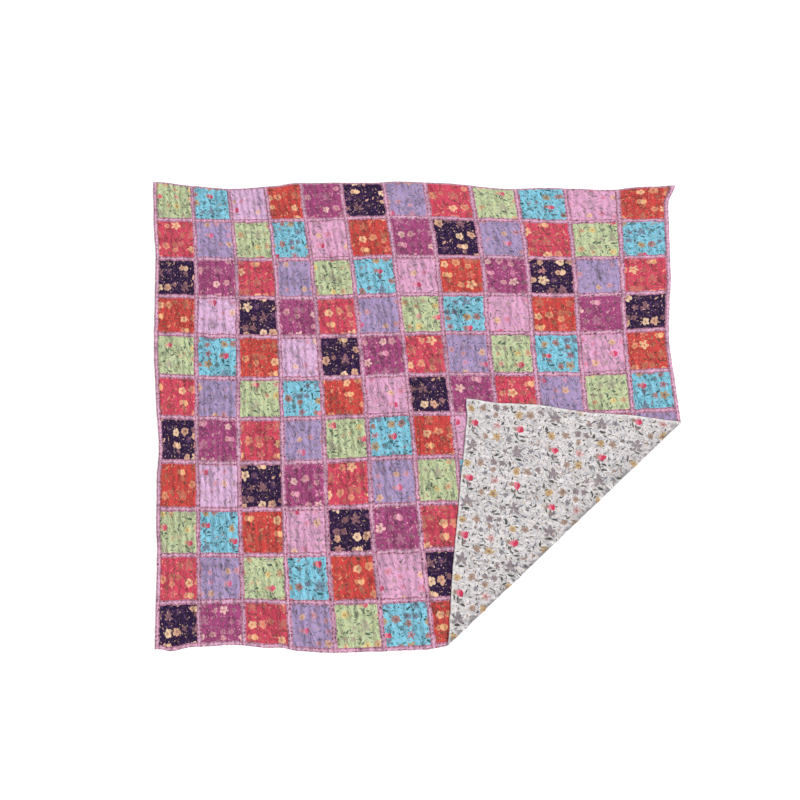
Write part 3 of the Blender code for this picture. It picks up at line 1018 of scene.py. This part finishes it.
def cotton_material(name):
    """A new cotton material, its shader's inputs, and its print coordinates."""
    material, sockets = new_material(name, COTTON_FINISH)
    return material, sockets, Value(add_node("UVMap", (), material.node_tree, uv_map="print").outputs[0])


def own_value(vector, name):
    """A value that the mesh carries, such as hollow, in the tree that the vector is in."""
    return Value(add_node("Attribute", (), vector.socket.id_data, attribute_name=name).outputs["Fac"])


def raise_surface(sockets, height):
    """Puts a height, in metres, under the light."""
    feed(sockets["Normal"], Value(add_node("Bump", {"Height": height, "Distance": 1.0}).outputs[0]))


def finish_cotton(sockets, vector, colour, depth):
    """Puts the shade over the colour, and raises the weave."""
    values = {"Vector": vector, "Hollow": own_value(vector, "hollow"), "Depth": depth}
    feed(sockets["Base Color"], scaled(colour, use_group("cotton_shade", values)["Shade"]))
    raise_surface(sockets, use_group("cotton_height", {"Vector": vector, "Crumple": CRUMPLE})["Height"])


COTTONS = {
    "green": "C0C9A0 DBC180 CCA080 D99494 A29E8A 9F7650 D0556A E49F9A 4C6050 788A74 8C9E74 A6B480",
    "turquoise": "84C4DA B09470 A6766E B27882 6C768A 68463E C64260 D48890 2A4E50 4E7E88 54929E 60AEC4",
    "crimson": "CA3C5A E9B68E DE9278 D47474 BC6E62 BC5E4A E8A87A EAB892 7C463C A45654 D06C66 C04E58",
    "lavender": "A68FB9 D4A890 C8909E CB90B0 9282A2 A47066 CB5A7C D69EB4 6A667C 867E96 8C809C 9886AF",
    "navy": "1C0034 EAC8A6 D8A88C BE8280 8C626A 8C584E E8BC98 ECC8A4 4E3244 5A3C62 4A2650 300E3E",
    "plum": "9C3C72 E2B4B2 CF949E CF7AA2 B2748C A06462 D98AA4 E1A8B8 6A3E54 96687A A86082 9E4C78",
    "scarlet": "C63B3B E7B48A DA9470 D47062 B66C56 AE563E E7A876 EABA8C 6C4636 985844 CE6A56 B84C40",
    "pink": "DBA0C3 E3B69A D686A4 DB8EB0 B990A7 B27466 C94466 DE9EB5 8C7884 B292A0 BE94A8 CD96B6",
    "lilac": "D8AED4 E3BAA8 D694B0 D898BA BD99B8 BA8072 CB506E E3A5BC 9C8696 BA9CAE C29EB8 CAA2C4",
    "backing": "D8D3D2 BB9C6E 9E8476 CA9496 7E7177 7E5C4A C33856 D98293 3E4038 727480 7C7474 96929A",
}
SWELLS = {"turquoise": 1.2, "crimson": 1.3, "navy": 1.3, "plum": 1.2, "scarlet": 1.3}
print(len(COTTONS), "cottons")


# %% Lay the inks on and make the ten materials
LAYERS = {
    "Curl": 0.7, "Fleck": 0.75, "Grey": 0.85, "Dark": 0.95, "Mauve": 0.85, "Rose": 0.9,
    "Pink": 0.9, "Gold": 0.95, "Heart": 0.7, "Tulip": 1.0, "Blush": 0.8,
}
SMALLER = 1.16
HEM_SHOWS = 0.0065
HEM_WORN, GATHER_PAINTED_SHADE = "E6E2E0", "686068"


def printed_cotton(name):
    """One cotton: each ink of the print mixed over the colour so far, by its mask and its strength.
    The backing's hem is worn pale, and shade is painted into the deep gathers at its fold."""
    colour, *inks = map(srgb, COTTONS[name].split())
    material, sockets, vector = cotton_material(f"cotton_{name}")
    rows, place, depth = vector, vector, BACKING_SHADE
    if name != "backing":
        place, depth = scaled(vector, SMALLER), PATCHWORK_SHADE
    masks = use_group("garden_print", {"Vector": place, "Swell": SWELLS.get(name, 1.0)})
    for ink, strength in LAYERS.items():
        colour = mix(masks[ink] * strength, colour, inks[INKS.index(ink)])
    if name == "backing":
        x, y, _ = parts(vector)
        rows = joined(y, x)
        hem = clamped((HEM_SHOWS - own_value(vector, "inward")) * 900.0)
        colour = mix(hem * 0.45, colour, srgb(HEM_WORN))
        # Painted shade: a dark grey mixed in where the gathers of the fold lie deep.
        colour = mix(clamped(own_value(vector, "hollow") - 0.95) * 0.65, colour, srgb(GATHER_PAINTED_SHADE))
    finish_cotton(sockets, rows, colour, depth)
    return material


for name, piece in {**square_pieces, "backing": backing}.items():
    piece.data.materials.append(printed_cotton(name))
print("the squares and the backing have their print")

# %% [markdown]
# ## The mauve print of the strips
#
# The strips carry a line of small dark dots along each side, on a mauve ground with a paler middle.
# Their print coordinates run along the strip and out from its middle, so dots are easy to place.

# %% The strips' material
DOT_STEP = 0.0125
DOT_LINE = 0.0049
DOT_RADIUS = 0.0024
PALE_MIDDLE = 0.0034
STRIP_MAUVE, STRIP_PALE, STRIP_PATCHY, STRIP_DOT = map(srgb, ("BC829A", "D5A7C1", "A4627C", "7A3854"))


def strip_material():
    """Dots: the way along, wrapped to one step and shortened so that dots are long, and the way
    across, less its line, as a length. They are faded in places, and so is the ground."""
    material, sockets, vector = cotton_material("cotton_strips")
    x, y, _ = parts(bent_place(vector, 120.0, 0.009))
    along, out = calculate("WRAP", x, DOT_STEP / 2, -DOT_STEP / 2), abs(y)
    dots = clamped((DOT_RADIUS - distance(along * 0.65, out - DOT_LINE)) / SOFT)
    patchy = clamped((noise(vector, 150.0, 2.0) - 0.5) * 5.0)
    faded = clamped(noise(vector, 60.0) * 2.4 - 0.5)
    colour = mix(clamped((PALE_MIDDLE - out) * 700.0), STRIP_MAUVE, STRIP_PALE)
    colour = mix(patchy * 0.45, colour, STRIP_PATCHY)
    finish_cotton(sockets, vector, mix(dots * faded, colour, STRIP_DOT), PATCHWORK_SHADE)
    return material


strip_cotton = strip_material()
for piece in (strips_down, strips_across):
    piece.data.materials.append(strip_cotton)
print("the strips have their print")

# %% [markdown]
# ## The thread
#
# Quilting thread is thicker than sewing thread and has a visible twist. Object coordinates are
# enough for it, because the stitches don't carry a print.

# %% The thread's material
TWIST = 0.0007
TWIST_HEIGHT = 0.00004


def thread_material():
    """Twist is a sine along the thread and across it; noise varies the tone from stitch to stitch."""
    material, sockets = new_material("thread_mauve", {"Roughness": 0.7})
    place = Value(add_node("TexCoord", (), material.node_tree).outputs["Object"])
    feed(sockets["Base Color"], mix(noise(place, 60.0, dimensions="3D"), srgb("BE92A8"), srgb("D6B8C6")))
    x, y, _ = parts(place)
    raise_surface(sockets, calculate("SINE", (x + y) * (2 * pi / TWIST)) * TWIST_HEIGHT)
    return material


thread = thread_material()
for piece in (stitches_front, stitches_back):
    piece.data.materials.append(thread)
print("thread:", thread.name)

# %% [markdown]
# ## What each piece is
#
# The frame needs to know what a piece rides on and which plain solid it stands for. The length
# of cloth that the squares and the strips take is worked out too.

for piece in (*square_pieces.values(), strips_down, strips_across):
    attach(piece, "root")
    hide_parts("patchwork_top")
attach(backing, "root")
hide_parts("backing")
for piece in (stitches_front, stitches_back):
    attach(piece, "root")


def cut_length(blocks, width):
    """How long a cloth of this width gives all these blocks: their flat area by the width."""
    areas = [(block.across[-1] - block.across[0]) * (block.down[-1] - block.down[0]) for block in blocks]
    return float(sum(areas)) * PITCH**2 / width


for name, blocks in squares.items():
    cut_length(blocks, PATCH)
long_down, long_across = (cut_length(blocks, SASHING) for blocks in (strip_blocks_down, strip_blocks_across))
print("strips cut", round(long_down, 1), "and", round(long_across, 1), "m long")

# %% [markdown]
# ## Floor, light and camera
#
# The quilt lies on a plain white floor under soft light from all round, with hardly any shadow. One
# wide, far lamp on the side that the corner is folded from draws the puckers. The camera looks
# almost straight down.

# %% Floor and light
FLOOR_SIZE = 40.0
FLOOR_DOWN = 0.0004
FLOOR_FINISH = {"Base Color": (0.97, 0.97, 0.97, 1), "Roughness": 0.9, "Specular IOR Level": 0.1}
LAMP_AT = (2.2, -1.8, 3.0)
LAMP_SPREAD = radians(25)
LAMP_STRENGTH = 2.13
SKY_STRENGTH = 0.72

half = FLOOR_SIZE / 2
floor_corners = [(x * half, y * half, -FLOOR_DOWN) for x, y in ((-1, -1), (1, -1), (1, 1), (-1, 1))]
floor = add_mesh("floor", floor_corners, [(0, 1, 2, 3)])
floor.data.materials.append(new_material("floor_white", FLOOR_FINISH)[0])

sun = bpy.data.lights.new("lamp_right", "SUN")
sun.angle, sun.energy = LAMP_SPREAD, LAMP_STRENGTH
lamp = bpy.data.objects.new("lamp_right", sun)
lamp.location = x, y, z = LAMP_AT
lamp.rotation_euler = (np.arctan2(np.hypot(x, y), z), 0, np.arctan2(x, -y))
bpy.context.scene.collection.objects.link(lamp)

world = bpy.data.worlds.new("soft_white")
world.use_nodes = True
sky = world.node_tree.nodes["Background"].inputs
feed(sky["Color"], (1, 1, 1, 1))
feed(sky["Strength"], SKY_STRENGTH)
bpy.context.scene.world = world
bpy.context.scene.view_settings.view_transform = "Standard"
print("one lamp and a white surround")

# %% Camera
CAMERA_TILT = radians(16.5)
CAMERA_AWAY = 4.3811
LENS_MM, SENSOR_MM = 67.5, 36
camera = bpy.data.objects.new("camera", bpy.data.cameras.new("camera"))
camera.data.lens, camera.data.sensor_width = LENS_MM, SENSOR_MM
back, up = CAMERA_AWAY * sin(CAMERA_TILT), CAMERA_AWAY * cos(CAMERA_TILT)
camera.location = (-LAID_MIDDLE[0], -LAID_MIDDLE[1] - back, up)
camera.rotation_euler = (CAMERA_TILT, 0, 0)
bpy.context.scene.collection.objects.link(camera)
bpy.context.scene.camera = camera
print("camera", round(CAMERA_AWAY, 2), "m away")
